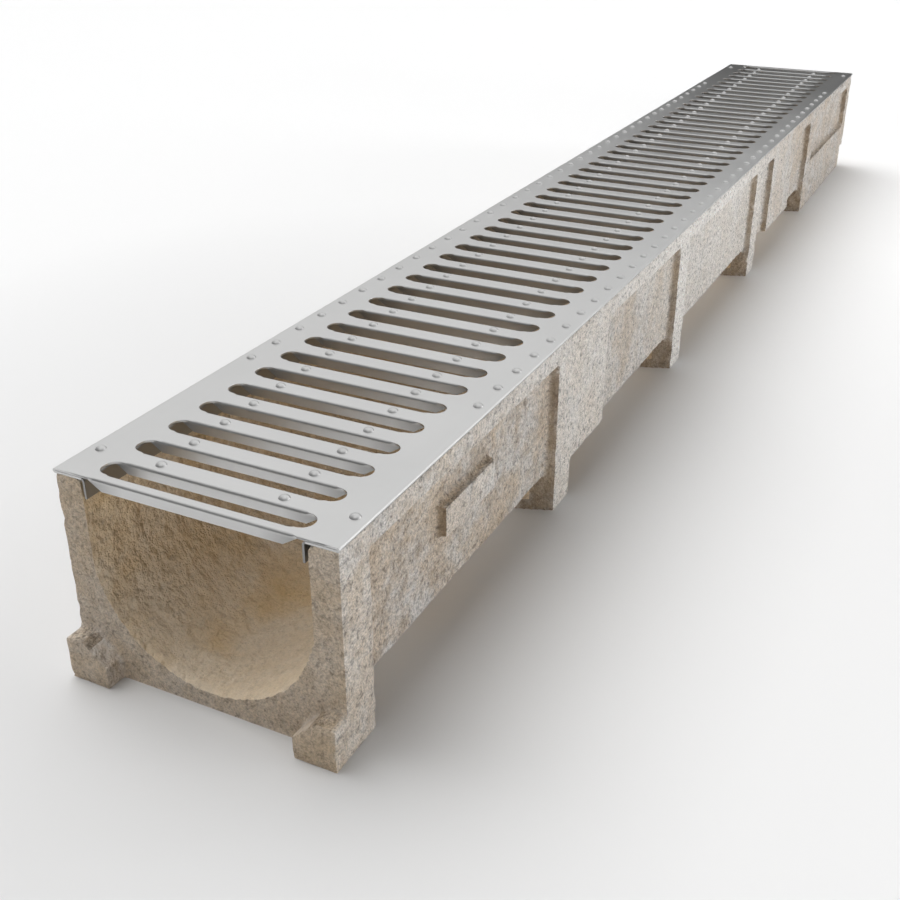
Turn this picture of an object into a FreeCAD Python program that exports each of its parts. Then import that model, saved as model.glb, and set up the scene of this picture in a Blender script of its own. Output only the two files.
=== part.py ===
import FreeCAD, Part
import math
import os

import Sketcher

# A metre-long drainage channel of cast polymer concrete with a slotted grating of
# folded stainless sheet lying on its rim. X runs along the channel, Y across it and
# Z up. The origin is the middle of the underside. The near end is at -X: it has the
# two feet that reach into the sockets under the far end of the next channel.

document = FreeCAD.newDocument("channel_drain")
sheet = document.addObject("Spreadsheet::Sheet", "Dimensions")


class Size:
    """A length with its present value and the sheet expression that gives it."""

    def __init__(self, value, text):
        self.value = value
        self.text = text

    def joined(self, other, value, sign):
        text = other.text if isinstance(other, Size) else repr(other)
        return Size(value, f"({self.text} {sign} {text})")

    def __add__(self, other):
        return self.joined(other, self.value + number(other), "+")

    def __sub__(self, other):
        return self.joined(other, self.value - number(other), "-")

    def __mul__(self, other):
        return self.joined(other, self.value * number(other), "*")

    def __truediv__(self, other):
        return self.joined(other, self.value / number(other), "/")

    def __neg__(self):
        return self * -1


def number(size):
    return size.value if isinstance(size, Size) else size


def cell(alias, value):
    """Writes one driving dimension to the sheet and returns it."""
    cell.row += 1
    sheet.set(f"A{cell.row}", alias.replace("_", " "))
    sheet.set(f"B{cell.row}", str(value))
    sheet.setAlias(f"B{cell.row}", alias)
    return Size(value, f"Dimensions.{alias}")


cell.row = 0

# Channel: overall form and bore
channel_length = cell("channel_length", 1000)
channel_width = cell("channel_width", 126)
channel_height = cell("channel_height", 90)
bore_width = cell("bore_width", 100)
floor_thickness = cell("floor_thickness", 8)
bore_arris = cell("bore_arris", 1.5)

# Channel: rim, recessed wall and ribs
rim_depth = cell("rim_depth", 9)
recess_depth = cell("recess_depth", 5)
rib_width = cell("rib_width", 20)
rib_pitch = cell("rib_pitch", 200)
draft_angle = cell("draft_angle", 20)

# Channel: feet, and the sockets under the far end that take the next channel's feet
foot_width = cell("foot_width", 19.6)
foot_height = cell("foot_height", 20)
foot_reach = cell("foot_reach", 9.4)
foot_top_width = cell("foot_top_width", 9)
foot_inner_height = cell("foot_inner_height", 10)
foot_round = cell("foot_round", 2)
joint_clearance = cell("joint_clearance", 0.4)

# Channel: blocks, lug and far-end panel on the side walls
first_block_length = cell("first_block_length", 49)
second_block_offset = cell("second_block_offset", 35)
second_block_length = cell("second_block_length", 80)
lug_offset = cell("lug_offset", 80)
lug_length = cell("lug_length", 47)
lug_bottom = cell("lug_bottom", 50.5)
lug_height = cell("lug_height", 14.5)
ledge_height = cell("ledge_height", 43)
end_flange_width = cell("end_flange_width", 15)

# Grating: sheet, hems and legs
sheet_thickness = cell("sheet_thickness", 0.9)
hem_gap = cell("hem_gap", 0.2)
leg_clearance = cell("leg_clearance", 1.2)
leg_drop = cell("leg_drop", 8)
leg_bend = cell("leg_bend", 0.8)

# Grating: slots, their folded flaps and the raised dimples
slot_pitch = cell("slot_pitch", 20)
slot_width = cell("slot_width", 10)
slot_length = cell("slot_length", 94)
fold_radius = cell("fold_radius", 1.2)
flap_drop = cell("flap_drop", 4.8)
flap_top_width = cell("flap_top_width", 92)
flap_bottom_width = cell("flap_bottom_width", 80)
dimple_width = cell("dimple_width", 4.5)
dimple_height = cell("dimple_height", 1.2)
dimple_slope = cell("dimple_slope", 40)
inner_dimple_spread = cell("inner_dimple_spread", 55.4)
outer_dimple_spread = cell("outer_dimple_spread", 114.4)
document.recompute()

SIDES = (1, -1)
# The small round forms are drawn with a few flats each, because there are so many
SLOT_END_FLATS = 7
DIMPLE_SIDES = 6
# Webs at each end of the plate before the run that has outer dimples throughout
END_WEBS = 5
BOTH_ENDS = Size(2, "2")


def point(corner):
    return FreeCAD.Vector(number(corner[0]), number(corner[1]), 0)


def pin(sketch, kind, geometry, position, size):
    """Holds one coordinate of a sketch point at a size from the sheet."""
    if number(size) == 0:
        axis = {"DistanceX": -2, "DistanceY": -1}[kind]
        sketch.addConstraint(Sketcher.Constraint("PointOnObject", geometry, position, axis))
        return
    index = sketch.addConstraint(
        Sketcher.Constraint(kind, -1, 1, geometry, position, number(size))
    )
    sketch.setExpression(f"Constraints[{index}]", size.text)


def add_arc(sketch, start, end, centre, turn):
    """Adds an arc from start to end. A turn of 1 is counter-clockwise, -1 clockwise."""
    middle = point(centre)
    first, last = (start, end) if turn > 0 else (end, start)
    angles = [math.atan2(p.y - middle.y, p.x - middle.x) for p in (first, last)]
    if angles[1] <= angles[0]:
        angles[1] += 2 * math.pi
    circle = Part.Circle(middle, FreeCAD.Vector(0, 0, 1), (first - middle).Length)
    geometry = sketch.addGeometry(Part.ArcOfCircle(circle, *angles), False)
    chord = end - start
    if abs(chord.x) < abs(chord.y):
        pin(sketch, "DistanceX", geometry, 3, centre[0])
    else:
        pin(sketch, "DistanceY", geometry, 3, centre[1])
    return (geometry, 1, 2) if turn > 0 else (geometry, 2, 1)


def add_outline(sketch, corners):
    """Draws a closed outline. Each corner is a pair of sizes, and one that starts an
    arc also gives the arc's centre and turn."""
    edges = []
    for corner, following in zip(corners, corners[1:] + corners[:1]):
        start, end = point(corner), point(following)
        if len(corner) == 2:
            edges.append((sketch.addGeometry(Part.LineSegment(start, end), False), 1, 2))
        else:
            edges.append(add_arc(sketch, start, end, corner[2], corner[3]))
    for before, edge in zip(edges[-1:] + edges[:-1], edges):
        sketch.addConstraint(
            Sketcher.Constraint("Coincident", before[0], before[2], edge[0], edge[1])
        )
    for corner, edge in zip(corners, edges):
        pin(sketch, "DistanceX", edge[0], edge[1], corner[0])
        pin(sketch, "DistanceY", edge[0], edge[1], corner[1])


def mirrored(corners):
    """The other side of an outline whose corners run from one side to the middle.
    An arc belongs to the corner that starts it, so it moves to the arc's other end."""
    flipped = []
    for corner, before in zip(reversed(corners), list(reversed(corners))[1:] + [()]):
        plain = (-corner[0], corner[1])
        if len(before) > 2:
            centre, turn = before[2:]
            flipped.append(plain + ((-centre[0], centre[1]), turn))
        else:
            flipped.append(plain)
    return flipped


def around(centre, radius, start, sweep, flats):
    """Corners along an arc that is drawn with flats, for angles in radians."""
    angles = [start + sweep * index / flats for index in range(flats + 1)]
    return [
        (centre[0] + radius * math.cos(angle), centre[1] + radius * math.sin(angle))
        for angle in angles
    ]


def new_sketch(body, plane, name, offset=None):
    """Attaches a sketch to a plane of the body's own origin, moved along its normal."""
    sketch = body.newObject("Sketcher::SketchObject", name)
    support = [f for f in body.Origin.OriginFeatures if f.Role == plane][0]
    sketch.AttachmentSupport = (support, "")
    sketch.MapMode = "FlatFace"
    if offset is not None:
        sketch.setExpression("AttachmentOffset.Base.z", offset.text)
    return sketch


def extrude(body, kind, sketch, name, length, both_ways=False, reverse=False):
    """Adds a Pad or Pocket of the sketch."""
    feature = body.newObject(f"PartDesign::{kind}", name)
    feature.Profile = sketch
    feature.Reversed = reverse
    if both_ways:
        feature.SideType = "Symmetric"
    feature.setExpression("Length", length.text)
    return feature


def repeat(body, features, name, spacing, count):
    """Repeats features along X."""
    pattern = body.newObject("PartDesign::LinearPattern", name)
    pattern.Originals = features
    along = [f for f in body.Origin.OriginFeatures if f.Role == "X_Axis"][0]
    pattern.Direction = (along, [""])
    pattern.Mode = "Spacing"
    pattern.setExpression("Offset", spacing.text)
    pattern.setExpression("Occurrences", count.text)
    body.Tip = pattern
    return pattern


def plain_copy(shape):
    """The same geometry without the names of its faces and edges."""
    copy = Part.Shape()
    copy.importBrepFromString(shape.exportBrepToString())
    return copy


def rounded(size):
    return Size(round(size.value), f"round({size.text})")


def whole(size):
    return Size(math.floor(size.value), f"floor({size.text})")


def tangent(angle):
    return Size(math.tan(math.radians(angle.value)), f"tan({angle.text})")


# Sizes that both pieces share
half_length = channel_length / 2
half_width = channel_width / 2
bore_radius = bore_width / 2


def make_channel():
    body = document.addObject("PartDesign::Body", "ChannelBody")
    body.Label = "channel_body"

    rim_bottom = channel_height - rim_depth
    wall_face = half_width - recess_depth
    plinth_face = half_width - foot_width
    undercut = foot_height + joint_clearance
    near_end = -half_length
    socket_depth = foot_reach + joint_clearance

    # Outer section: a narrow plinth, the recessed wall that overhangs it, and the rim
    section = new_sketch(body, "YZ_Plane", "OuterSection")
    outline = [
        (plinth_face, 0),
        (plinth_face, undercut),
        (wall_face, undercut),
        (wall_face, rim_bottom),
        (half_width, rim_bottom),
        (half_width, channel_height),
    ]
    add_outline(section, outline + mirrored(outline))
    extrude(body, "Pad", section, "Section", channel_length, both_ways=True)

    def add_drafted(sketch, start, end, inner, near_draft, far_draft):
        """Draws one block in plan on both sides, wider at its root by the draft."""
        spread = (half_width - inner) * tangent(draft_angle)
        near_root = start - spread if near_draft else start
        far_root = end + spread if far_draft else end
        for side in SIDES:
            add_outline(sketch, [
                (start, half_width * side),
                (end, half_width * side),
                (far_root, inner * side),
                (near_root, inner * side),
            ])

    # Ribs stand down to the floor, with drafted flanks
    first_rib = near_end + rib_pitch
    rib_plan = new_sketch(body, "XY_Plane", "RibPlan")
    add_drafted(rib_plan, first_rib, first_rib + rib_width, plinth_face, True, True)
    rib = extrude(body, "Pad", rib_plan, "Rib", rim_bottom)
    rib_count = rounded(channel_length / rib_pitch) - 1
    repeat(body, [rib], "Ribs", rib_pitch, rib_count)
    last_rib = near_end + rib_pitch * rib_count

    # The near end has a block in step with the ribs, and the feet reach out of it
    end_plan = new_sketch(body, "XY_Plane", "EndBlockPlan")
    add_drafted(end_plan, near_end, near_end + rib_width, plinth_face, False, True)
    extrude(body, "Pad", end_plan, "EndBlock", rim_bottom)

    foot_section = new_sketch(body, "YZ_Plane", "FootSection", near_end)
    for side in SIDES:
        add_outline(foot_section, [
            (plinth_face * side, 0),
            (half_width * side, 0),
            (half_width * side, foot_height - foot_round,
             ((half_width - foot_round) * side, foot_height - foot_round), side),
            ((half_width - foot_round) * side, foot_height),
            ((half_width - foot_top_width) * side, foot_height),
            (plinth_face * side, foot_inner_height),
        ])
    extrude(body, "Pad", foot_section, "Feet", foot_reach, reverse=True)

    # Two blocks on the wall, the first joined to a rib and the second free of them
    wall_root = wall_face - recess_depth / 2
    block_plan = new_sketch(body, "XY_Plane", "WallBlockPlan", undercut)
    first_block = first_rib + rib_width / 2
    first_block_end = first_rib + rib_width + first_block_length
    add_drafted(block_plan, first_block, first_block_end, wall_root, False, True)
    second_block = first_rib + rib_pitch * 2 + rib_width + second_block_offset
    second_block_end = second_block + second_block_length
    add_drafted(block_plan, second_block, second_block_end, wall_root, True, True)
    extrude(body, "Pad", block_plan, "WallBlocks", rim_bottom - undercut)

    # A small lug on the wall near the feet
    lug_plan = new_sketch(body, "XY_Plane", "LugPlan", lug_bottom)
    lug_start = near_end + lug_offset
    add_drafted(lug_plan, lug_start, lug_start + lug_length, wall_root, False, True)
    extrude(body, "Pad", lug_plan, "Lugs", lug_height)

    # Past the last rib the wall is full thickness up to a ledge, as far as the sockets
    low_plan = new_sketch(body, "XY_Plane", "LowWallPlan")
    low_start = last_rib + rib_width / 2
    low_end = half_length - socket_depth
    add_drafted(low_plan, low_start, low_end, plinth_face, False, False)
    extrude(body, "Pad", low_plan, "LowWall", ledge_height)

    flange_plan = new_sketch(body, "XY_Plane", "EndFlangePlan", undercut)
    flange_start = half_length - end_flange_width
    add_drafted(flange_plan, flange_start, half_length, wall_root, True, False)
    extrude(body, "Pad", flange_plan, "EndFlange", rim_bottom - undercut)

    # The bore has upright walls on a round bottom, and eased arrises at the rim
    spring_line = floor_thickness + bore_radius
    arris_bottom = channel_height - bore_arris
    mouth = bore_radius + bore_arris
    bore_section = new_sketch(body, "YZ_Plane", "BoreSection")
    add_outline(bore_section, [
        (-bore_radius, spring_line, (0, spring_line), 1),
        (bore_radius, spring_line),
        (bore_radius, arris_bottom, (mouth, arris_bottom), -1),
        (mouth, channel_height),
        (mouth, channel_height + bore_arris),
        (-mouth, channel_height + bore_arris),
        (-mouth, channel_height, (-mouth, arris_bottom), -1),
        (-bore_radius, arris_bottom),
    ])
    past_each_end = foot_reach * 2
    bore_length = channel_length + past_each_end * 2
    extrude(body, "Pocket", bore_section, "Bore", bore_length, both_ways=True)
    return body


def make_grating():
    body = document.addObject("PartDesign::Body", "PlateBody")
    body.Label = "folded_plate"

    stack = sheet_thickness * 2 + hem_gap
    top = channel_height + stack
    underside = top - sheet_thickness
    return_top = channel_height + sheet_thickness
    hem_radius = stack / 2
    hem_centre = (half_width - hem_radius, channel_height + hem_radius)
    leg_outer = bore_radius - leg_clearance
    leg_inner = leg_outer - sheet_thickness
    leg_bottom = channel_height - leg_drop
    bend_centre = (leg_outer + leg_bend, channel_height - leg_bend)

    # Folded section: each long edge is hemmed back under the plate, and the return
    # layer turns down into a leg that sits inside the bore's wall
    right = [
        (hem_centre[0], top, hem_centre, -1),
        (hem_centre[0], channel_height),
        (bend_centre[0], channel_height, bend_centre, 1),
        (leg_outer, bend_centre[1]),
        (leg_outer, leg_bottom),
        (leg_inner, leg_bottom),
        (leg_inner, bend_centre[1], bend_centre, -1),
        (bend_centre[0], return_top),
        (hem_centre[0], return_top, hem_centre, 1),
        (hem_centre[0], underside),
    ]
    section = new_sketch(body, "YZ_Plane", "FoldedSection")
    add_outline(section, right + mirrored(right))
    extrude(body, "Pad", section, "FoldedSheet", channel_length, both_ways=True)

    # Flaps folded down along the slots and along both ends of the plate
    flap_bottom = top - flap_drop
    inside_sheet = top - sheet_thickness / 2

    def add_flap(name, face, direction):
        """A flap with sloping ends, whose outer face is at x = face."""
        profile = new_sketch(body, "YZ_Plane", name + "Profile", face)
        add_outline(profile, [
            (-flap_bottom_width / 2, flap_bottom),
            (flap_bottom_width / 2, flap_bottom),
            (flap_top_width / 2, inside_sheet),
            (-flap_top_width / 2, inside_sheet),
        ])
        return extrude(body, "Pad", profile, name, sheet_thickness, reverse=direction < 0)

    def add_fold(name, edges, width):
        """Cuts the plate's upper edge over each flap as one flat, in place of a round fold.
        Each edge is an x and the way in."""
        profile = new_sketch(body, "XZ_Plane", name + "Profile")
        for face, inward in edges:
            add_outline(profile, [
                (face, top - fold_radius),
                (face + fold_radius * inward, top),
                (face + fold_radius * inward, top + sheet_thickness),
                (face - sheet_thickness * inward, top + sheet_thickness),
                (face - sheet_thickness * inward, top - fold_radius),
            ])
        return extrude(body, "Pocket", profile, name, width, both_ways=True)

    add_flap("NearEndFlap", -half_length, 1)
    add_flap("FarEndFlap", half_length, -1)
    add_fold("EndFold", [(-half_length, 1), (half_length, -1)], flap_top_width)

    # Slots with round ends, centred along the plate
    slot_count = whole(channel_length / slot_pitch)
    first_slot = -(slot_count - 1) * slot_pitch / 2
    slot_plan = new_sketch(body, "XY_Plane", "SlotPlan", top)
    slot_radius = slot_width / 2
    straight = slot_length / 2 - slot_radius
    one_end = around((first_slot, straight), slot_radius, 0, math.pi, SLOT_END_FLATS)
    other_end = around((first_slot, -straight), slot_radius, math.pi, math.pi, SLOT_END_FLATS)
    near_edge = first_slot - slot_radius
    far_edge = first_slot + slot_radius
    add_outline(slot_plan, one_end + other_end)
    slot_depth = sheet_thickness + hem_gap / 2
    slot = extrude(body, "Pocket", slot_plan, "Slot", slot_depth)

    near_flap = add_flap("NearFlap", near_edge, -1)
    far_flap = add_flap("FarFlap", far_edge, 1)
    folds = add_fold("SlotFold", [(near_edge, -1), (far_edge, 1)], straight * 2)
    repeat(body, [slot, near_flap, far_flap, folds], "Slots", slot_pitch, slot_count)

    # No face of the plate is cut in two, so none has to be joined again
    for feature in body.Group:
        if hasattr(feature, "Refine"):
            feature.Refine = False

    # Dimples pressed up from the webs between the slots: an inner row on every web,
    # and an outer row on the end webs and on all but the few webs next to them
    raised = document.addObject("PartDesign::Body", "DimpleBody")
    raised.Label = "dimples"
    raised.AllowCompound = True

    def add_dimples(name, along, spread, spacing, count):
        plan = new_sketch(raised, "XY_Plane", name + "Plan", top)
        for side in SIDES:
            centre = (along, spread / 2 * side)
            corners = around(centre, dimple_width / 2, 0, math.tau, DIMPLE_SIDES)
            add_outline(plan, corners[:-1])
        dimple = extrude(raised, "Pad", plan, name, dimple_height)
        dimple.setExpression("TaperAngle", (-dimple_slope).text)
        repeat(raised, [dimple], name + "Row", spacing, count)

    web_count = slot_count - 1
    first_web = first_slot + slot_pitch / 2
    add_dimples("InnerDimple", first_web, inner_dimple_spread, slot_pitch, web_count)
    run_start = first_web + slot_pitch * END_WEBS
    run_count = web_count - END_WEBS * 2
    add_dimples("OuterDimple", run_start, outer_dimple_spread, slot_pitch, run_count)
    end_spacing = slot_pitch * (web_count - 1)
    add_dimples("EndDimple", first_web, outer_dimple_spread, end_spacing, BOTH_ENDS)

    # The dimples are one with the sheet, so all of them are joined to it at once
    document.recompute()
    grating = document.addObject("Part::Feature", "SlottedGrating")
    grating.Label = "slotted_grating"
    grating.Shape = plain_copy(body.Shape).fuse(plain_copy(raised.Shape).Solids)
    grating.Placement = FreeCAD.Placement()
    return grating


pieces = [make_channel(), make_grating()]
document.recompute()

faults = [
    f"{item.Name}: {state}"
    for item in document.Objects
    for state in item.State
    if state in ("Invalid", "Error")
]
for piece in pieces:
    if piece.Shape.isNull() or not piece.Shape.isValid() or len(piece.Shape.Solids) != 1:
        faults.append(f"{piece.Label}: not one valid solid")
if faults:
    raise RuntimeError("; ".join(faults))

os.makedirs("parts", exist_ok=True)
for piece in pieces:
    piece.Shape.exportStep(os.path.join("parts", piece.Label + ".step"))
    print(piece.Label, round(piece.Shape.Volume), "mm3", piece.Shape.BoundBox)
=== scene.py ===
import math

import bmesh
import bpy
import numpy as np
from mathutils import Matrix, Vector
from mathutils.noise import noise as perlin


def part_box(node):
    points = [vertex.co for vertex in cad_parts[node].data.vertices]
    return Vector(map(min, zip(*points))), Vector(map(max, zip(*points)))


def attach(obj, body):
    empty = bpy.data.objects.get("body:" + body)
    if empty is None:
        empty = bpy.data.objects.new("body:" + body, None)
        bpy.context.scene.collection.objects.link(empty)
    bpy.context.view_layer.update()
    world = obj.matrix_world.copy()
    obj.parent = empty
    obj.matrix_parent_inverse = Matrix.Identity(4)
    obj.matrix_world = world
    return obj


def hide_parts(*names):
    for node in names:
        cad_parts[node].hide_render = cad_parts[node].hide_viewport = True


# A cast drainage channel and its slotted steel grating, in metres. X runs along the
# channel, Y across it and Z up, as in the frame. The end with the feet is at -X.

MM = 0.001

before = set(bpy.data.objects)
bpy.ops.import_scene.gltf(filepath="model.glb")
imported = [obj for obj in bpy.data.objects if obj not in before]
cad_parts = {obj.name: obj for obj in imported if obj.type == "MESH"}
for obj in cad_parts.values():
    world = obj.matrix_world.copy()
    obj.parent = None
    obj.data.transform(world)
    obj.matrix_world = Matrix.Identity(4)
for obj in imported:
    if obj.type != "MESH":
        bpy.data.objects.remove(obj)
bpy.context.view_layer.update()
channel_low, channel_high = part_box("channel_body")


# Sizes that the pieces are drawn from

HALF_LENGTH = channel_high.x
HALF_WIDTH = channel_high.y
CHANNEL_TOP = channel_high.z

SHEET = 0.9 * MM
HEM_GAP = 0.2 * MM
PLATE_TOP = CHANNEL_TOP + 2 * SHEET + HEM_GAP
LEG_OUTER = 48.8 * MM
LEG_BEND = 0.8 * MM
LEG_DROP = 8 * MM

SLOT_PITCH = 20 * MM
SLOT_WIDTH = 10 * MM
SLOT_LENGTH = 94 * MM
SLOT_COUNT = 50
FOLD_RADIUS = 1.2 * MM
FLAP_DROP = 4.8 * MM
FLAP_TOP_HALF = 46 * MM
FLAP_BOTTOM_HALF = 40 * MM

DIMPLE_RADIUS = 2.25 * MM
DIMPLE_HEIGHT = 1.2 * MM
INNER_DIMPLE_Y = 27.7 * MM
OUTER_DIMPLE_Y = 57.2 * MM
END_WEBS = 5


# Node helpers

def new_material(name):
    material = bpy.data.materials.new(name)
    material.use_nodes = True
    tree = material.node_tree
    return material, tree, tree.nodes["Principled BSDF"]


def add_node(tree, kind, **settings):
    node = tree.nodes.new(kind)
    for key, value in settings.items():
        if key in node.inputs:
            node.inputs[key].default_value = value
        else:
            setattr(node, key, value)
    return node


def link(tree, source, target):
    tree.links.new(source, target)


def set_socket(tree, socket, value):
    """Links a socket to another, or gives it a number or a colour."""
    if isinstance(value, bpy.types.NodeSocket):
        link(tree, value, socket)
    elif isinstance(value, (int, float)):
        socket.default_value = value
    else:
        socket.default_value = (*value, 1)


def split(tree, vector):
    """The three parts of a vector."""
    node = add_node(tree, "ShaderNodeSeparateXYZ")
    link(tree, vector, node.inputs[0])
    return node.outputs


def noise(tree, coordinates, scale, detail, roughness):
    node = add_node(tree, "ShaderNodeTexNoise", Scale=scale, Detail=detail, Roughness=roughness)
    link(tree, coordinates, node.inputs["Vector"])
    return node.outputs["Fac"]


def ramp(tree, value, *stops):
    """A ramp of grey levels. Each stop is a place and a level."""
    node = tree.nodes.new("ShaderNodeValToRGB")
    elements = node.color_ramp.elements
    while len(elements) < len(stops):
        elements.new(0.5)
    for element, (place, level) in zip(elements, stops):
        element.position = place
        element.color = (level, level, level, 1)
    link(tree, value, node.inputs["Fac"])
    return node.outputs["Color"]


def mix(tree, factor, first, second, blend="MIX"):
    node = add_node(tree, "ShaderNodeMix", data_type="RGBA", blend_type=blend)
    for socket, value in ((0, factor), (6, first), (7, second)):
        set_socket(tree, node.inputs[socket], value)
    return node.outputs[2]


def maths(tree, operation, first, second=0.0, clamp=False):
    node = add_node(tree, "ShaderNodeMath", operation=operation, use_clamp=clamp)
    set_socket(tree, node.inputs[0], first)
    set_socket(tree, node.inputs[1], second)
    return node.outputs[0]


def times(tree, first, *others):
    for other in others:
        first = maths(tree, "MULTIPLY", first, other)
    return first


def plus(tree, first, *others):
    for other in others:
        first = maths(tree, "ADD", first, other)
    return first


def rest(tree, share):
    """What is left of 1."""
    return maths(tree, "SUBTRACT", 1.0, share)


def rise(tree, value, start, steepness):
    """0 up to a start, and from there up to 1 at a given steepness."""
    above = maths(tree, "SUBTRACT", value, start)
    return maths(tree, "MULTIPLY", above, steepness, clamp=True)


def hill(tree, value, middle, height, steepness):
    """1 about a middle, falling to 0 on both sides of it."""
    away = maths(tree, "ABSOLUTE", maths(tree, "SUBTRACT", value, middle))
    return maths(tree, "SUBTRACT", height, times(tree, away, steepness), clamp=True)


def add_bump(tree, shader, height, strength, distance):
    bump = add_node(tree, "ShaderNodeBump", Strength=strength, Distance=distance)
    link(tree, height, bump.inputs["Height"])
    link(tree, bump.outputs["Normal"], shader.inputs["Normal"])


# Polymer concrete: coarse and pitted outside, in neutral greys and beige. The ends and the bore
# are browner and smoother, with ochre stains.
# Painted shade darkens the faces that turn to an end along the length, such as the ribs' near
# faces, and the low wall between the ribs.

CONCRETE_GREY = (0.69, 0.655, 0.62)
CONCRETE_BEIGE = (0.63, 0.535, 0.44)
# Brown for the random mottle, and also painted shade on faces turned to an end and on the low
# wall
CONCRETE_BROWN_AND_SHADE = (0.34, 0.255, 0.17)
CONCRETE_END = (0.57, 0.455, 0.33)
CONCRETE_OCHRE = (0.66, 0.45, 0.20)
CONCRETE_INSIDE = (0.79, 0.64, 0.45)
# The paler tone that the side walls turn to in places
CONCRETE_PALE = (0.95, 0.915, 0.87)
CONCRETE_ROUGHNESS = 0.88
CONCRETE_SPECULAR = 0.35

# Noise from the largest patches to the finest: scale per metre, detail and roughness
STAINS = (17, 4, 0.55)
CLOUDS = (30, 6, 0.68)
MOTTLE = (130, 5, 0.65)
LUMPS = (150, 4, 0.55)
GRIT = (380, 4, 0.62)
GRAIN = (1150, 2, 0.70)
PIT_SCALE = 420.0

# What noise becomes, as stops of a place and a level: a share of a tint, a shade or a height
CLOUD_STOPS = ((0.41, 0.0), (0.57, 1.0))
MOTTLE_STOPS = ((0.38, 0.45), (0.52, 0.0))
STAIN_STOPS = ((0.48, 0.0), (0.66, 1.0))
# Dents and specks follow the relief's own noise: dirt and painted shade in the dents, and
# painted highlights where a ramp rises above 1
DENT_DIRT_AND_SHADE_STOPS = ((0.36, 0.58), (0.45, 0.98), (0.62, 1.12))
SPECK_AND_HIGHLIGHT_STOPS = ((0.36, 0.70), (0.5, 1.0), (0.62, 1.22))
PIT_STOPS = ((0.0, 0.0), (0.35, 1.0))

# Places that tell one face of the channel from another
END_DEPTH = 6 * MM
BORE_SIDE = 51 * MM
BORE_LOWEST = 6 * MM
PROUD_SIDE = 61 * MM
# Height below which the side wall between the ribs takes painted shade
WALL_FOOT = 19.5 * MM

# How far a face turns to an end or upwards before it counts, and how fast its share rises
END_FACING = (0.5, 2.0)
UP_FACING = (0.5, 2.5)

# How much of each tint covers the colour under it
END_TINT = 0.66
LEDGE_TINT = 0.60
FLANK_SHADE_TINT = 0.92
BORE_TINT = 0.72
FOOT_SHADE_TINT = 0.55
STAIN_TINT = 0.20
BORE_STAIN_TINT = 0.48
PALE_LENGTH = 0.22
PALE_PANELS = 0.50
PALE_RIBS = 0.50

# Where the side walls are paler: a start and a steepness, or a hill's middle, height and
# steepness along the channel
LENGTH_RISE = (-0.42, 2.4)
PANEL_HILL = (0.02, 1.1, 4.0)
RIB_HILL = (-0.20, 1.3, 3.2)

# How strong the painted fine shades and highlights and the fine relief are on smooth faces, and
# how much more on coarse ones. An end face is less coarse than a side wall.
END_COARSENESS = 0.7
SHADE_SMOOTH = 0.22
SHADE_COARSE = 0.72
RELIEF_SMOOTH = 0.18
RELIEF_COARSE = 0.82

# How high each kind of relief stands, in shares of the bump's distance
BUMP_DISTANCE = 1.6 * MM
GRIT_HEIGHT = 2.1
PIT_HEIGHT = 0.25
GRAIN_HEIGHT = 0.30
LUMP_HEIGHT = 4.5
BORE_LUMP_LOSS = 1.2


def concrete_masks(tree, coordinates):
    """Where a point of the channel is, as shares from 0 to 1."""
    x, y, z = split(tree, coordinates)
    facing = split(tree, add_node(tree, "ShaderNodeNewGeometry").outputs["Normal"])
    along = maths(tree, "ABSOLUTE", x)
    across = maths(tree, "ABSOLUTE", y)
    end_on = rise(tree, maths(tree, "ABSOLUTE", facing["X"]), *END_FACING)
    within = maths(tree, "LESS_THAN", along, HALF_LENGTH - END_DEPTH)
    off_feet = maths(tree, "LESS_THAN", along, HALF_LENGTH)
    central = maths(tree, "LESS_THAN", across, BORE_SIDE)
    outside = rest(tree, central)
    raised = maths(tree, "GREATER_THAN", z, BORE_LOWEST)
    at_end = times(tree, end_on, rest(tree, within))
    side = times(tree, outside, rest(tree, end_on))
    proud = maths(tree, "GREATER_THAN", across, PROUD_SIDE)
    low = maths(tree, "LESS_THAN", z, WALL_FOOT)
    return {
        "at_end": at_end,
        # Painted shade on the faces that turn to an end along the length, such as the ribs' near
        # faces
        "flank_shade": times(tree, end_on, within),
        "bore": times(tree, central, raised, off_feet, rest(tree, at_end)),
        "ledge": times(tree, rise(tree, facing["Z"], *UP_FACING), outside),
        "side": side,
        # Painted shade on the low wall under the overhang between the ribs
        "foot_shade": times(tree, low, side, rest(tree, proud)),
        "pale": times(tree, pale_share(tree, x, proud), side),
        "coarse": maths(tree, "MAXIMUM", side, times(tree, end_on, END_COARSENESS)),
    }


def pale_share(tree, x, proud):
    """Side walls are paler away from the near end, in the middle panels and on the ribs."""
    length = times(tree, rise(tree, x, *LENGTH_RISE), PALE_LENGTH)
    panels = times(tree, hill(tree, x, *PANEL_HILL), PALE_PANELS)
    ribs = times(tree, hill(tree, x, *RIB_HILL), proud, PALE_RIBS)
    return maths(tree, "ADD", plus(tree, length, panels), ribs, clamp=True)


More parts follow.
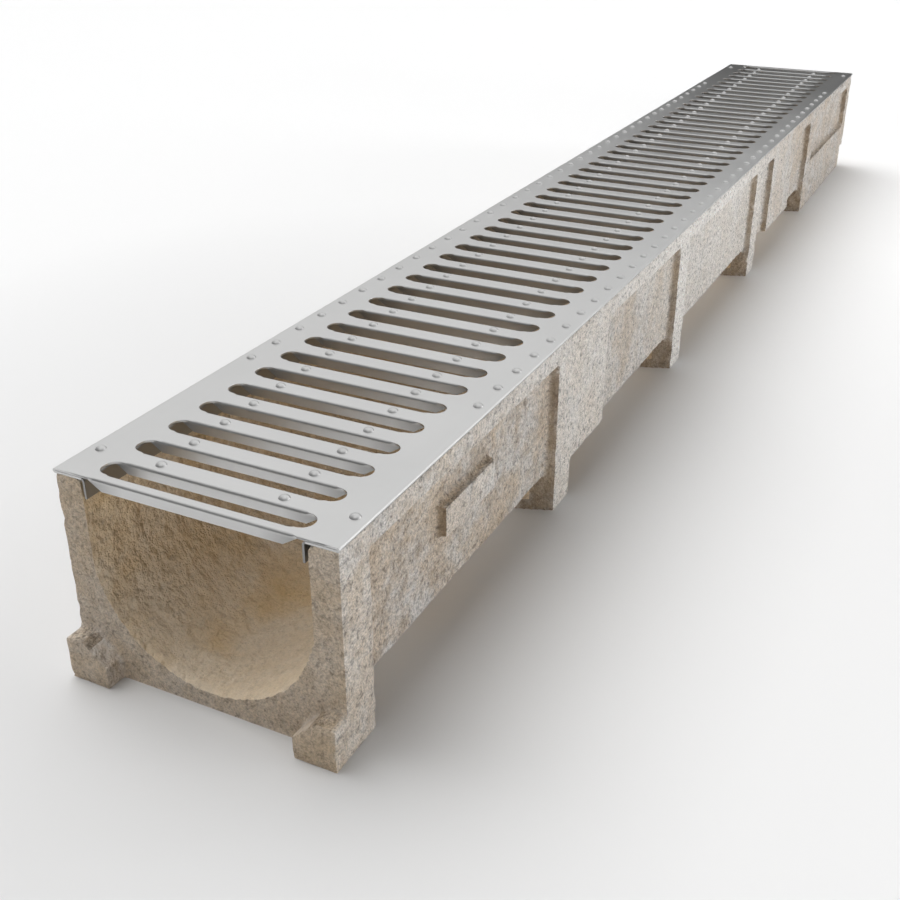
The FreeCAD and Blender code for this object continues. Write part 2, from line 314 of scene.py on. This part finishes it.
def concrete_colour(tree, coordinates, masks, grit, grain):
    clouds = ramp(tree, noise(tree, coordinates, *CLOUDS), *CLOUD_STOPS)
    mottle = ramp(tree, noise(tree, coordinates, *MOTTLE), *MOTTLE_STOPS)
    stain = ramp(tree, noise(tree, coordinates, *STAINS), *STAIN_STOPS)
    stain_tint = plus(tree, times(tree, masks["bore"], BORE_STAIN_TINT), STAIN_TINT)
    colour = mix(tree, clouds, CONCRETE_BEIGE, CONCRETE_GREY)
    for share, tint in (
        (mottle, CONCRETE_BROWN_AND_SHADE),
        (times(tree, masks["at_end"], END_TINT), CONCRETE_END),
        (times(tree, masks["ledge"], LEDGE_TINT), CONCRETE_END),
        # Painted shade on the faces turned to an end
        (times(tree, masks["flank_shade"], FLANK_SHADE_TINT), CONCRETE_BROWN_AND_SHADE),
        (times(tree, masks["bore"], BORE_TINT), CONCRETE_INSIDE),
        (times(tree, stain, stain_tint), CONCRETE_OCHRE),
        (masks["pale"], CONCRETE_PALE),
        # Painted shade on the low wall between the ribs
        (times(tree, masks["foot_shade"], FOOT_SHADE_TINT), CONCRETE_BROWN_AND_SHADE),
    ):
        colour = mix(tree, share, colour, tint)

    # Dents that hold dirt and painted shade, and pale and dark grains, from the same noise as
    # the relief, with painted highlights on the raised grit and grain; weaker on the smoother
    # faces
    strength = plus(tree, times(tree, masks["coarse"], SHADE_COARSE), SHADE_SMOOTH)
    for shade in (ramp(tree, grit, *DENT_DIRT_AND_SHADE_STOPS), ramp(tree, grain, *SPECK_AND_HIGHLIGHT_STOPS)):
        colour = mix(tree, strength, colour, shade, blend="MULTIPLY")
    return colour


def concrete_relief(tree, coordinates, masks, grit, grain):
    """Relief too fine for the mesh: lumps, grit, small pits and grain."""
    pits = add_node(tree, "ShaderNodeTexVoronoi", feature="F1", Scale=PIT_SCALE)
    link(tree, coordinates, pits.inputs["Vector"])
    pits = ramp(tree, pits.outputs["Distance"], *PIT_STOPS)
    fine = plus(tree, times(tree, grit, GRIT_HEIGHT), times(tree, pits, PIT_HEIGHT),
                times(tree, grain, GRAIN_HEIGHT))
    strength = plus(tree, times(tree, masks["coarse"], RELIEF_COARSE), RELIEF_SMOOTH)
    fine = times(tree, fine, strength)
    lump_loss = times(tree, masks["bore"], BORE_LUMP_LOSS)
    lump_height = maths(tree, "SUBTRACT", LUMP_HEIGHT, lump_loss)
    return plus(tree, fine, times(tree, noise(tree, coordinates, *LUMPS), lump_height))


def concrete_material():
    material, tree, shader = new_material("polymer_concrete")
    coordinates = add_node(tree, "ShaderNodeTexCoord").outputs["Object"]
    masks = concrete_masks(tree, coordinates)
    grit = noise(tree, coordinates, *GRIT)
    grain = noise(tree, coordinates, *GRAIN)
    colour = concrete_colour(tree, coordinates, masks, grit, grain)
    link(tree, colour, shader.inputs["Base Color"])
    shader.inputs["Roughness"].default_value = CONCRETE_ROUGHNESS
    shader.inputs["Specular IOR Level"].default_value = CONCRETE_SPECULAR
    relief = concrete_relief(tree, coordinates, masks, grit, grain)
    add_bump(tree, shader, relief, 1.0, BUMP_DISTANCE)
    return material


# Stainless sheet: satin, with a faint grain along the plate, and painted shade inside the slots'
# ends, under the plate

STEEL_COLOUR = (0.625, 0.625, 0.62)
STEEL_CLOUD_SHADE = 0.93
STEEL_METALLIC = 0.88
STEEL_ROUGHNESS = 0.27
STEEL_ROUGHNESS_CHANGE = 0.06
STEEL_ANISOTROPY = 0.3
STEEL_GRAIN_STRETCH = (12, 900, 900)
STEEL_GRAIN = (1.0, 3, 0.55)
STEEL_CLOUDS = (18, 4, 0.55)
STEEL_CLOUD_STOPS = ((0.3, 0.0), (0.7, 1.0))
STEEL_BUMP = 0.05
STEEL_BUMP_DISTANCE = 0.05 * MM
# Painted shade on the metal under the plate towards the slots' ends and on the legs
SLOT_END_SHADE_COLOUR = (0.10, 0.10, 0.10)
SLOT_END_SHADE_TINT = 0.62
SLOT_END_SHADE_START = 30 * MM
SLOT_END_SHADE_FULL = 48 * MM
SLOT_END_SHADE_TOP = PLATE_TOP - 0.4 * MM
SLOT_END_SHADE_FADE = 1.2 * MM
SLOT_END_SHADE_OUTER = LEG_OUTER + 0.5 * MM


# Where the painted shade lies: towards the slots' ends, below the plate's top and inside the
# legs
def slot_end_shade_share(tree, coordinates):
    place = split(tree, coordinates)
    across = maths(tree, "ABSOLUTE", place["Y"])
    by_end = rise(tree, across, SLOT_END_SHADE_START, 1 / (SLOT_END_SHADE_FULL - SLOT_END_SHADE_START))
    below = maths(tree, "SUBTRACT", SLOT_END_SHADE_TOP, place["Z"])
    below = maths(tree, "MULTIPLY", below, 1 / SLOT_END_SHADE_FADE, clamp=True)
    within_leg = maths(tree, "LESS_THAN", across, SLOT_END_SHADE_OUTER)
    return times(tree, by_end, below, within_leg, SLOT_END_SHADE_TINT)


def steel_material():
    material, tree, shader = new_material("stainless_sheet")
    coordinates = add_node(tree, "ShaderNodeTexCoord").outputs["Object"]
    stretch = add_node(tree, "ShaderNodeMapping")
    stretch.inputs["Scale"].default_value = STEEL_GRAIN_STRETCH
    link(tree, coordinates, stretch.inputs["Vector"])
    brushing = noise(tree, stretch.outputs["Vector"], *STEEL_GRAIN)
    clouds = noise(tree, coordinates, *STEEL_CLOUDS)
    shaded = [level * STEEL_CLOUD_SHADE for level in STEEL_COLOUR]
    colour = mix(tree, ramp(tree, clouds, *STEEL_CLOUD_STOPS), shaded, STEEL_COLOUR)
    # Painted shade under the plate
    colour = mix(tree, slot_end_shade_share(tree, coordinates), colour, SLOT_END_SHADE_COLOUR)
    link(tree, colour, shader.inputs["Base Color"])
    change = times(tree, plus(tree, brushing, clouds), STEEL_ROUGHNESS_CHANGE)
    link(tree, plus(tree, change, STEEL_ROUGHNESS), shader.inputs["Roughness"])
    shader.inputs["Metallic"].default_value = STEEL_METALLIC
    shader.inputs["Anisotropic"].default_value = STEEL_ANISOTROPY
    add_bump(tree, shader, brushing, STEEL_BUMP, STEEL_BUMP_DISTANCE)
    return material


# Mesh helpers

def add_object(name, data):
    item = bpy.data.objects.new(name, data)
    bpy.context.scene.collection.objects.link(item)
    return item


def mesh_data(name, mesh):
    """Turns a finished bmesh into mesh data."""
    data = bpy.data.meshes.new(name)
    mesh.to_mesh(data)
    mesh.free()
    return data


def smooth_faces(data, sharp_angle):
    """Makes all faces smooth, and keeps the edges sharper than an angle in degrees."""
    data.polygons.foreach_set("use_smooth", [True] * len(data.polygons))
    data.set_sharp_from_angle(angle=math.radians(sharp_angle))


def add_sheet(name, corners, material):
    """A flat piece of the stage with four corners."""
    data = bpy.data.meshes.new(name)
    data.from_pydata(corners, [], [(0, 1, 2, 3)])
    data.materials.append(material)
    return add_object(name, data)


def arc_points(centre, radius, start, sweep, steps):
    """Points along an arc, with angles in degrees."""
    angles = [math.radians(start + sweep * i / steps) for i in range(steps + 1)]
    return [(centre[0] + radius * math.cos(a), centre[1] + radius * math.sin(a)) for a in angles]


# Grating: one folded sheet. It is drawn in half cells, which run from the middle of a slot
# to the middle of a web, and two hemmed long edges that turn down into legs.

FOLD_STEPS = 6
FADE_STEPS = 5
SLOT_END_STEPS = 10
DIMPLE_STEPS = 12
HEM_STEPS = 10
LEG_BEND_STEPS = 6
GRATING_SHARP_ANGLE = 32
SAME_PLACE = 0.0001 * MM

CUT_EDGE_RADIUS = 0.12 * MM
FADE_LENGTH = 2.5 * MM
SLOT_RADIUS = SLOT_WIDTH / 2
SLOT_STRAIGHT = SLOT_LENGTH / 2 - SLOT_RADIUS
HALF_CELL = SLOT_PITCH / 2
HEM_RADIUS = SHEET + HEM_GAP / 2
HEM_Y = HALF_WIDTH - HEM_RADIUS
UNDERSIDE = PLATE_TOP - SHEET
FLAP_BOTTOM = PLATE_TOP - FLAP_DROP

# Each ring of a dimple: its share of the dimple's radius and of its height
DIMPLE_RINGS = ((1.0, 0.0), (0.88, 0.34), (0.68, 0.66), (0.44, 0.88), (0.2, 0.98), (0.0, 1.0))


class SheetMesh:
    """Collects faces, and joins corners that fall on the same place."""

    def __init__(self):
        self.mesh = bmesh.new()
        self.known = {}

    def vertex(self, point):
        key = tuple(round(value / SAME_PLACE) for value in point)
        if key not in self.known:
            self.known[key] = self.mesh.verts.new(point)
        return self.known[key]

    def face(self, points):
        corners = []
        for point in points:
            corner = self.vertex(point)
            if not corners or corner is not corners[-1]:
                corners.append(corner)
        if corners[0] is corners[-1]:
            corners.pop()
        if len(corners) >= 3:
            self.mesh.faces.new(corners)

    def strip(self, first, second):
        for a, b, c, d in zip(first, first[1:], second[1:], second):
            self.face([a, b, c, d])

    def rings(self, rings):
        for first, second in zip(rings, rings[1:]):
            self.strip(first, second)


def mirrored_rows(rows):
    """The rows, then the same rows with the across-plate place turned round."""
    return rows + [(u, -v, radius, (w[0], -w[1])) for u, v, radius, w in reversed(rows)]


def faded_fold(u, start, into):
    """Rows along which a fold grows from a cut edge at start to its full radius."""
    rows = []
    for i in range(FADE_STEPS + 1):
        share = i / FADE_STEPS
        blend = share * share * (3 - 2 * share)
        radius = CUT_EDGE_RADIUS + (FOLD_RADIUS - CUT_EDGE_RADIUS) * blend
        rows.append((u, start - FADE_LENGTH * share, radius, into))
    return rows


def slot_rows():
    """The slot's edge: distance from the slot's middle, place across the plate, fold radius
    and direction into the metal."""
    rows = []
    for i in range(SLOT_END_STEPS):
        angle = math.pi / 2 * (1 - i / SLOT_END_STEPS)
        u, v = math.cos(angle), math.sin(angle)
        rows.append((u * SLOT_RADIUS, SLOT_STRAIGHT + v * SLOT_RADIUS, CUT_EDGE_RADIUS, (u, v)))
    return mirrored_rows(rows + faded_fold(SLOT_RADIUS, SLOT_STRAIGHT, (1, 0)))


def end_rows():
    """The plate's end, told in the same way as the slot's edge."""
    into = (-1, 0)
    rows = [(HALF_CELL, HEM_Y, 0.0, into), (HALF_CELL, FLAP_TOP_HALF, 0.0, into)]
    rows += faded_fold(HALF_CELL, FLAP_TOP_HALF, into)[1:]
    rows.append((HALF_CELL, FLAP_BOTTOM_HALF, FOLD_RADIUS, into))
    return mirrored_rows(rows)


def flap_edge_height(v):
    """Height of a flap's lower edge, which rises to the sheet's underside at its ends."""
    steepness = (UNDERSIDE - FLAP_BOTTOM) / (FLAP_TOP_HALF - FLAP_BOTTOM_HALF)
    climb = (abs(v) - FLAP_BOTTOM_HALF) * steepness
    return min(UNDERSIDE, FLAP_BOTTOM + max(0.0, climb))


def fold_rings(rows, place):
    """Rings from the top of the plate down round the fold, one point for each row."""
    rings = []
    for step in range(FOLD_STEPS + 1):
        angle = math.pi / 2 * step / FOLD_STEPS
        ring = []
        for u, v, radius, into in rows:
            inset = radius * (1 - math.sin(angle))
            drop = radius * (1 - math.cos(angle))
            ring.append(place(u + into[0] * inset, v + into[1] * inset, PLATE_TOP - drop))
        rings.append(ring)
    return rings


def add_half_dimple(sheet, place, row):
    """Half a dimple on the middle line of a web. Returns its outline on the plate."""
    rings = []
    for share, height in DIMPLE_RINGS:
        radius = DIMPLE_RADIUS * share
        z = PLATE_TOP + DIMPLE_HEIGHT * height
        points = arc_points((HALF_CELL, row), radius, 90, 180, DIMPLE_STEPS)
        rings.append([place(u, v, z) for u, v in points])
    sheet.rings(rings)
    return rings[0]


def add_flap(sheet, place, face_u, inner_u, rows):
    """A flap's lower edge and inner face, along rows of places across the plate."""
    outer = [place(face_u, v, flap_edge_height(v)) for v in rows]
    inner = [place(inner_u, v, flap_edge_height(v)) for v in rows]
    sheet.strip(outer, inner)
    sheet.face(inner)


def add_slot_flap(sheet, place, rows, bottom, wall):
    """The straight part of a slot's wall and the flap under it. Bottom is the fold's lowest
    ring, and wall is the line under it at the sheet's underside."""
    ends = SLOT_END_STEPS + 1
    straight = range(SLOT_END_STEPS, len(rows) - SLOT_END_STEPS)
    across = [rows[i][1] for i in straight]
    flap = [place(SLOT_RADIUS, v, flap_edge_height(v)) for v in across]
    tops = [bottom[i] for i in straight]
    sheet.face([wall[ends - 1], tops[0], tops[1], flap[1], flap[0]])
    sheet.strip(tops[1:-1], flap[1:-1])
    sheet.face([tops[-2], tops[-1], wall[-ends], flap[-1], flap[-2]])
    edge = [FLAP_TOP_HALF] + across + [-FLAP_TOP_HALF]
    add_flap(sheet, place, SLOT_RADIUS, SLOT_RADIUS + SHEET, edge)
    for side in (1, -1):
        v = side * SLOT_STRAIGHT
        sheet.face([
            place(SLOT_RADIUS, v, UNDERSIDE),
            place(SLOT_RADIUS, side * FLAP_TOP_HALF, UNDERSIDE),
            place(SLOT_RADIUS, v, flap_edge_height(v)),
        ])


def add_plate_end(sheet, place):
    """The plate's end with its flap. Returns its lines on the plate's two sides."""
    rows = end_rows()
    rings = fold_rings(rows, place)
    sheet.rings(rings)
    across = [v for u, v, radius, into in rows]
    sheet.strip(rings[-1], [place(HALF_CELL, v, flap_edge_height(v)) for v in across])
    corner = HALF_CELL - SHEET
    add_flap(sheet, place, HALF_CELL, corner, across[1:-1])
    turns = [
        (HALF_CELL, HEM_Y),
        (HALF_CELL, FLAP_TOP_HALF),
        (corner, FLAP_TOP_HALF),
        (corner, -FLAP_TOP_HALF),
        (HALF_CELL, -FLAP_TOP_HALF),
        (HALF_CELL, -HEM_Y),
    ]
    return rings[0], [place(u, v, UNDERSIDE) for u, v in turns]


def add_web_middle(sheet, place, dimple_rows):
    """The middle of a web with its half dimples. Returns its lines on the two sides."""
    top_line = [place(HALF_CELL, HEM_Y, PLATE_TOP)]
    for row in sorted(dimple_rows, reverse=True):
        top_line += add_half_dimple(sheet, place, row)
    top_line.append(place(HALF_CELL, -HEM_Y, PLATE_TOP))
    return top_line, [place(HALF_CELL, v, UNDERSIDE) for v in (HEM_Y, -HEM_Y)]


def add_half_cell(sheet, middle, way, dimple_rows, at_end):
    """One half cell. Middle is the slot's place along the plate, and way is 1 or -1."""

    def place(u, v, z):
        return (middle + u * way, v, z)

    # The slot's edge: cut at its round ends, and folded down along its straight side
    rows = slot_rows()
    rings = fold_rings(rows, place)
    sheet.rings(rings)
    bottom = rings[-1]
    ends = SLOT_END_STEPS + 1
    wall = [place(u, v, UNDERSIDE) for u, v, radius, into in rows]
    sheet.strip(bottom[:ends], wall[:ends])
    sheet.strip(bottom[-ends:], wall[-ends:])
    add_slot_flap(sheet, place, rows, bottom, wall)

    # The other side of the half cell
    if at_end:
        top_line, under_line = add_plate_end(sheet, place)
    else:
        top_line, under_line = add_web_middle(sheet, place, dimple_rows)

    # The plate's two sides
    top = [place(0, HEM_Y, PLATE_TOP)] + top_line + [place(0, -HEM_Y, PLATE_TOP)]
    sheet.face(top + rings[0][::-1])
    under = [place(0, HEM_Y, UNDERSIDE)] + under_line + [place(0, -HEM_Y, UNDERSIDE)]
    inner_u = SLOT_RADIUS + SHEET
    fold_line = [
        place(SLOT_RADIUS, FLAP_TOP_HALF, UNDERSIDE),
        place(inner_u, FLAP_TOP_HALF, UNDERSIDE),
        place(inner_u, -FLAP_TOP_HALF, UNDERSIDE),
        place(SLOT_RADIUS, -FLAP_TOP_HALF, UNDERSIDE),
    ]
    slot_line = wall[:ends] + fold_line + wall[-ends:]
    sheet.face(under + slot_line[::-1])


def hem_profile():
    """The hemmed edge and its leg in section: the outer line, then the inner line."""
    hem_z = PLATE_TOP - HEM_RADIUS
    bend_y = LEG_OUTER + LEG_BEND
    bend_z = PLATE_TOP - 2 * HEM_RADIUS - LEG_BEND
    leg_z = PLATE_TOP - 2 * HEM_RADIUS - LEG_DROP
    lines = []
    for hem_radius, bend_radius, leg_y in (
        (HEM_RADIUS, LEG_BEND, LEG_OUTER),
        (HEM_GAP / 2, LEG_BEND + SHEET, LEG_OUTER - SHEET),
    ):
        line = arc_points((HEM_Y, hem_z), hem_radius, 90, -180, HEM_STEPS)
        line += arc_points((bend_y, bend_z), bend_radius, 90, 90, LEG_BEND_STEPS)
        lines.append(line + [(leg_y, leg_z)])
    return lines


def add_hem(sheet, side):
    outer, inner = hem_profile()
    stations = [-HALF_LENGTH + HALF_CELL * i for i in range(2 * SLOT_COUNT + 1)]

    def section(x, line):
        return [(x, side * y, z) for y, z in line]

    line = outer + inner[::-1]
    for first, second in zip(stations, stations[1:]):
        sheet.strip(section(first, line), section(second, line))
    for x in (stations[0], stations[-1]):
        sheet.strip(section(x, outer), section(x, inner))


def make_grating(material):
    sheet = SheetMesh()
    last_web = SLOT_COUNT - 1
    for slot in range(SLOT_COUNT):
        middle = -HALF_LENGTH + HALF_CELL + SLOT_PITCH * slot
        for way in (-1, 1):
            web = slot if way < 0 else slot + 1
            at_end = web in (0, SLOT_COUNT)
            rows = [INNER_DIMPLE_Y, -INNER_DIMPLE_Y]
            if web in (1, last_web) or END_WEBS < web <= last_web - END_WEBS:
                rows += [OUTER_DIMPLE_Y, -OUTER_DIMPLE_Y]
            add_half_cell(sheet, middle, way, rows, at_end)
    for side in (1, -1):
        add_hem(sheet, side)
    bmesh.ops.recalc_face_normals(sheet.mesh, faces=sheet.mesh.faces)
    data = mesh_data("grating_sheet", sheet.mesh)
    smooth_faces(data, GRATING_SHARP_ANGLE)
    data.materials.append(material)
    piece = add_object("grating_sheet", data)
    normals = piece.modifiers.new("normals", "WEIGHTED_NORMAL")
    normals.keep_sharp = True
    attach(piece, "root")
    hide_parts("slotted_grating")


# Channel: the cast body, with worn edges and an uneven, pitted skin of real relief

VOXEL = 1.25 * MM
CHANNEL_TRIANGLES = 196000
CHANNEL_SHARP_ANGLE = 40
WELD = 0.001 * MM

# Each layer of relief: size across, depth, the noise level where it starts and its full level
RELIEF_LAYERS = (
    (26.0 * MM, 0.20 * MM, -0.5, 0.6),
    (9.0 * MM, 0.28 * MM, -0.35, 0.6),
    (5.0 * MM, 0.50 * MM, 0.08, 0.55),
)
# Faces that look down more than this stay flat
FACING_DOWN = -0.7


def apply_modifiers(piece):
    """Gives the piece the mesh that its modifiers make, in place of them."""
    graph = bpy.context.evaluated_depsgraph_get()
    data = bpy.data.meshes.new_from_object(piece.evaluated_get(graph))
    old = piece.data
    piece.modifiers.clear()
    piece.data = data
    bpy.data.meshes.remove(old)


def read_points(data):
    places = np.empty(len(data.vertices) * 3)
    data.vertices.foreach_get("co", places)
    return places.reshape(-1, 3)


def move_points(data, places, low, high):
    """Moves the mesh's points to new places, or to the side of the box that they lie past."""
    places = np.clip(places, np.array(low), np.array(high))
    data.vertices.foreach_set("co", places.ravel())
    data.update()


def carve_relief(data, low, high):
    """Moves each point inwards by layers of noise."""
    places = read_points(data)
    normals = np.empty(places.size)
    data.vertex_normals.foreach_get("vector", normals)
    normals = normals.reshape(-1, 3)
    depth = np.zeros(len(places))
    for size, full, start, stop in RELIEF_LAYERS:
        field = np.array([perlin(place) for place in (places / size).tolist()])
        depth += full * np.clip((field - start) / (stop - start), 0, 1)
    depth[normals[:, 2] < FACING_DOWN] = 0
    move_points(data, places - normals * depth[:, None], low, high)


def make_channel(material):
    mesh = bmesh.new()
    mesh.from_mesh(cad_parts["channel_body"].data)
    bmesh.ops.remove_doubles(mesh, verts=mesh.verts, dist=WELD)
    piece = add_object("channel_casting", mesh_data("channel_casting", mesh))
    remesh = piece.modifiers.new("voxels", "REMESH")
    remesh.mode = "VOXEL"
    remesh.voxel_size = VOXEL
    apply_modifiers(piece)
    carve_relief(piece.data, channel_low, channel_high)
    piece.data.calc_loop_triangles()
    thin = piece.modifiers.new("thin", "DECIMATE")
    thin.ratio = min(1.0, CHANNEL_TRIANGLES / len(piece.data.loop_triangles))
    apply_modifiers(piece)
    move_points(piece.data, read_points(piece.data), channel_low, channel_high)
    smooth_faces(piece.data, CHANNEL_SHARP_ANGLE)
    piece.data.materials.clear()
    piece.data.materials.append(material)
    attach(piece, "root")
    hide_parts("channel_body")


# Stage: a pale floor, a white surround, and broad soft lamps

FLOOR_REACH = 30.0
FLOOR_ROUGHNESS = 0.9
FLOOR_SPECULAR = 0.2
FLOOR_LIFT = 0.01
# The floor is greyer about a stretch of the line under the channel, as a painted shadow: the
# stretch's two ends, and the floor's tones by distance from it
SHADOW_START = -0.52
SHADOW_END = -0.25
FLOOR_SHADOW_TONES = ((0.05, 0.70), (0.20, 0.83), (0.50, 0.95))

# A dark card beyond the far end, for the far stretch of the plate to mirror
CARD_X = 0.78
CARD_ACROSS = (-0.6, 0.8)
CARD_HEIGHT = 0.35
CARD_COLOUR = (0.02, 0.02, 0.02)

SKY_LEVEL = 0.15
HORIZON_LEVEL = 0.06
ZENITH_LEVEL = 1.0
BEHIND_LEVEL = 0.16
HORIZON_HEIGHT = 0.10
ZENITH_HEIGHT = 0.26
AHEAD_STEEPNESS = 1.2
AHEAD_BASE = 0.4
OVERHEAD_STEEPNESS = 3.0
OVERHEAD_LOSS = 2.0


def seen_by(tree, *kinds):
    """1 for rays of the given kinds, and otherwise 0."""
    path = add_node(tree, "ShaderNodeLightPath")
    seen = path.outputs[kinds[0]]
    for kind in kinds[1:]:
        seen = maths(tree, "MAXIMUM", seen, path.outputs[kind])
    return seen


def make_floor():
    material, tree, shader = new_material("floor")
    place = split(tree, add_node(tree, "ShaderNodeTexCoord").outputs["Object"])
    from_middle = plus(tree, place["X"], -(SHADOW_START + SHADOW_END) / 2)
    from_middle = maths(tree, "ABSOLUTE", from_middle)
    beyond = maths(tree, "SUBTRACT", from_middle, (SHADOW_END - SHADOW_START) / 2)
    beyond = maths(tree, "MAXIMUM", beyond, 0.0)
    away = plus(tree, times(tree, beyond, beyond), times(tree, place["Y"], place["Y"]))
    # Painted shadow about the channel's near end
    shadow_tone = ramp(tree, maths(tree, "SQRT", away), *FLOOR_SHADOW_TONES)
    link(tree, shadow_tone, shader.inputs["Base Color"])
    shader.inputs["Roughness"].default_value = FLOOR_ROUGHNESS
    shader.inputs["Specular IOR Level"].default_value = FLOOR_SPECULAR
    shader.inputs["Emission Color"].default_value = (1, 1, 1, 1)
    seen = seen_by(tree, "Is Camera Ray", "Is Glossy Ray", "Is Transmission Ray")
    link(tree, times(tree, seen, FLOOR_LIFT), shader.inputs["Emission Strength"])
    reach = FLOOR_REACH
    corners = [(-reach, -reach, 0), (reach, -reach, 0), (reach, reach, 0), (-reach, reach, 0)]
    floor = add_sheet("floor", corners, material)


def make_dark_card():
    """The card is seen in reflections alone."""
    material, tree, shader = new_material("dark_card")
    shader.inputs["Base Color"].default_value = (*CARD_COLOUR, 1)
    shader.inputs["Roughness"].default_value = 1.0
    shader.inputs["Specular IOR Level"].default_value = 0.0
    right, left = CARD_ACROSS
    turns = ((right, 0), (left, 0), (left, CARD_HEIGHT), (right, CARD_HEIGHT))
    card = add_sheet("dark_card", [(CARD_X, y, z) for y, z in turns], material)
    card.visible_camera = False
    card.visible_diffuse = False
    card.visible_shadow = False
    card.visible_transmission = False


def make_world():
    """White to the camera and dimmer as a light. In reflections it is bright overhead and
    ahead, and darker low down and behind."""
    world = bpy.data.worlds.new("studio")
    bpy.context.scene.world = world
    world.use_nodes = True
    tree = world.node_tree
    background = tree.nodes["Background"]
    way = split(tree, add_node(tree, "ShaderNodeTexCoord").outputs["Generated"])
    level = ramp(tree, way["Z"], (0.0, HORIZON_LEVEL), (HORIZON_HEIGHT, HORIZON_LEVEL),
                 (ZENITH_HEIGHT, ZENITH_LEVEL))
    ahead = plus(tree, times(tree, way["X"], AHEAD_STEEPNESS), AHEAD_BASE)
    overhead = times(tree, way["Z"], OVERHEAD_STEEPNESS)
    overhead = maths(tree, "SUBTRACT", overhead, OVERHEAD_LOSS)
    bright = maths(tree, "MAXIMUM", ahead, overhead, clamp=True)
    bright = plus(tree, times(tree, bright, 1 - BEHIND_LEVEL), BEHIND_LEVEL)
    mirrored = mix(tree, 1.0, level, bright, blend="MULTIPLY")
    colour = mix(tree, seen_by(tree, "Is Glossy Ray"), (SKY_LEVEL,) * 3, mirrored)
    seen = seen_by(tree, "Is Camera Ray", "Is Transmission Ray")
    link(tree, mix(tree, seen, colour, (1.0, 1.0, 1.0)), background.inputs["Color"])
    background.inputs["Strength"].default_value = 1.0


# Lamps: each sun has an azimuth, an elevation and a spread in degrees, and a level, which is
# the light that it throws on a face turned to it. The key's level is for a level face.

KEY_ELEVATION = 62
KEY_LEVEL = 0.82
SUNS = (
    ("key", 72, KEY_ELEVATION, 60, KEY_LEVEL / math.sin(math.radians(KEY_ELEVATION))),
    ("fill", -72, 5, 24, 0.46),
    ("front", 205, 6, 30, 0.18),
)
SUN_DISTANCE = 2.0
STRIP_PLACE = (2.30, -2.30, 0.80)
STRIP_TARGET = (0, 0, 0.09)
STRIP_WIDTH = 1.7
STRIP_HEIGHT = 0.6
STRIP_LEVEL = 2.8


def aim(holder, direction):
    holder.rotation_euler = Vector(direction).to_track_quat("-Z", "Y").to_euler()


def add_sun(name, azimuth, elevation, spread, level):
    """A broad, distant lamp."""
    lamp = bpy.data.lights.new(name, "SUN")
    lamp.angle = math.radians(spread)
    lamp.energy = level * math.pi
    a, e = math.radians(azimuth), math.radians(elevation)
    source = Vector((math.cos(e) * math.cos(a), math.cos(e) * math.sin(a), math.sin(e)))
    holder = add_object(name, lamp)
    holder.location = source * SUN_DISTANCE
    aim(holder, -source)
    return holder


def add_strip():
    """A long low lamp beyond the far end, for the hem and the flaps to mirror."""
    lamp = bpy.data.lights.new("strip", "AREA")
    lamp.shape = "RECTANGLE"
    lamp.size = STRIP_WIDTH
    lamp.size_y = STRIP_HEIGHT
    lamp.energy = STRIP_LEVEL * math.pi * STRIP_WIDTH * STRIP_HEIGHT
    holder = add_object("strip", lamp)
    holder.location = STRIP_PLACE
    aim(holder, Vector(STRIP_TARGET) - Vector(STRIP_PLACE))
    holder.visible_camera = False


def add_lamps():
    suns = [add_sun(*sun) for sun in SUNS]
    suns[0].visible_glossy = False
    add_strip()


# Camera: the place, turn and lens found from the photograph's straight edges

CAMERA_PLACE = (-0.77378, -0.24078, 0.29961)
CAMERA_YAW = 26.542
CAMERA_DIP = 27.741
LENS = 46.16
SENSOR_WIDTH = 36.0
NEAREST = 0.01


def make_camera():
    camera = bpy.data.cameras.new("camera")
    camera.lens = LENS
    camera.sensor_width = SENSOR_WIDTH
    camera.clip_start = NEAREST
    holder = add_object("camera", camera)
    holder.location = CAMERA_PLACE
    holder.rotation_euler = (math.radians(90 - CAMERA_DIP), 0, math.radians(CAMERA_YAW - 90))
    bpy.context.scene.camera = holder


concrete = concrete_material()
steel = steel_material()
for name, material in (("channel_body", concrete), ("slotted_grating", steel)):
    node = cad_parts[name]
    node.data.materials.clear()
    node.data.materials.append(material)

make_grating(steel)
make_channel(concrete)
make_floor()
make_dark_card()
make_world()
add_lamps()
make_camera()

bpy.context.scene.view_settings.view_transform = "Standard"
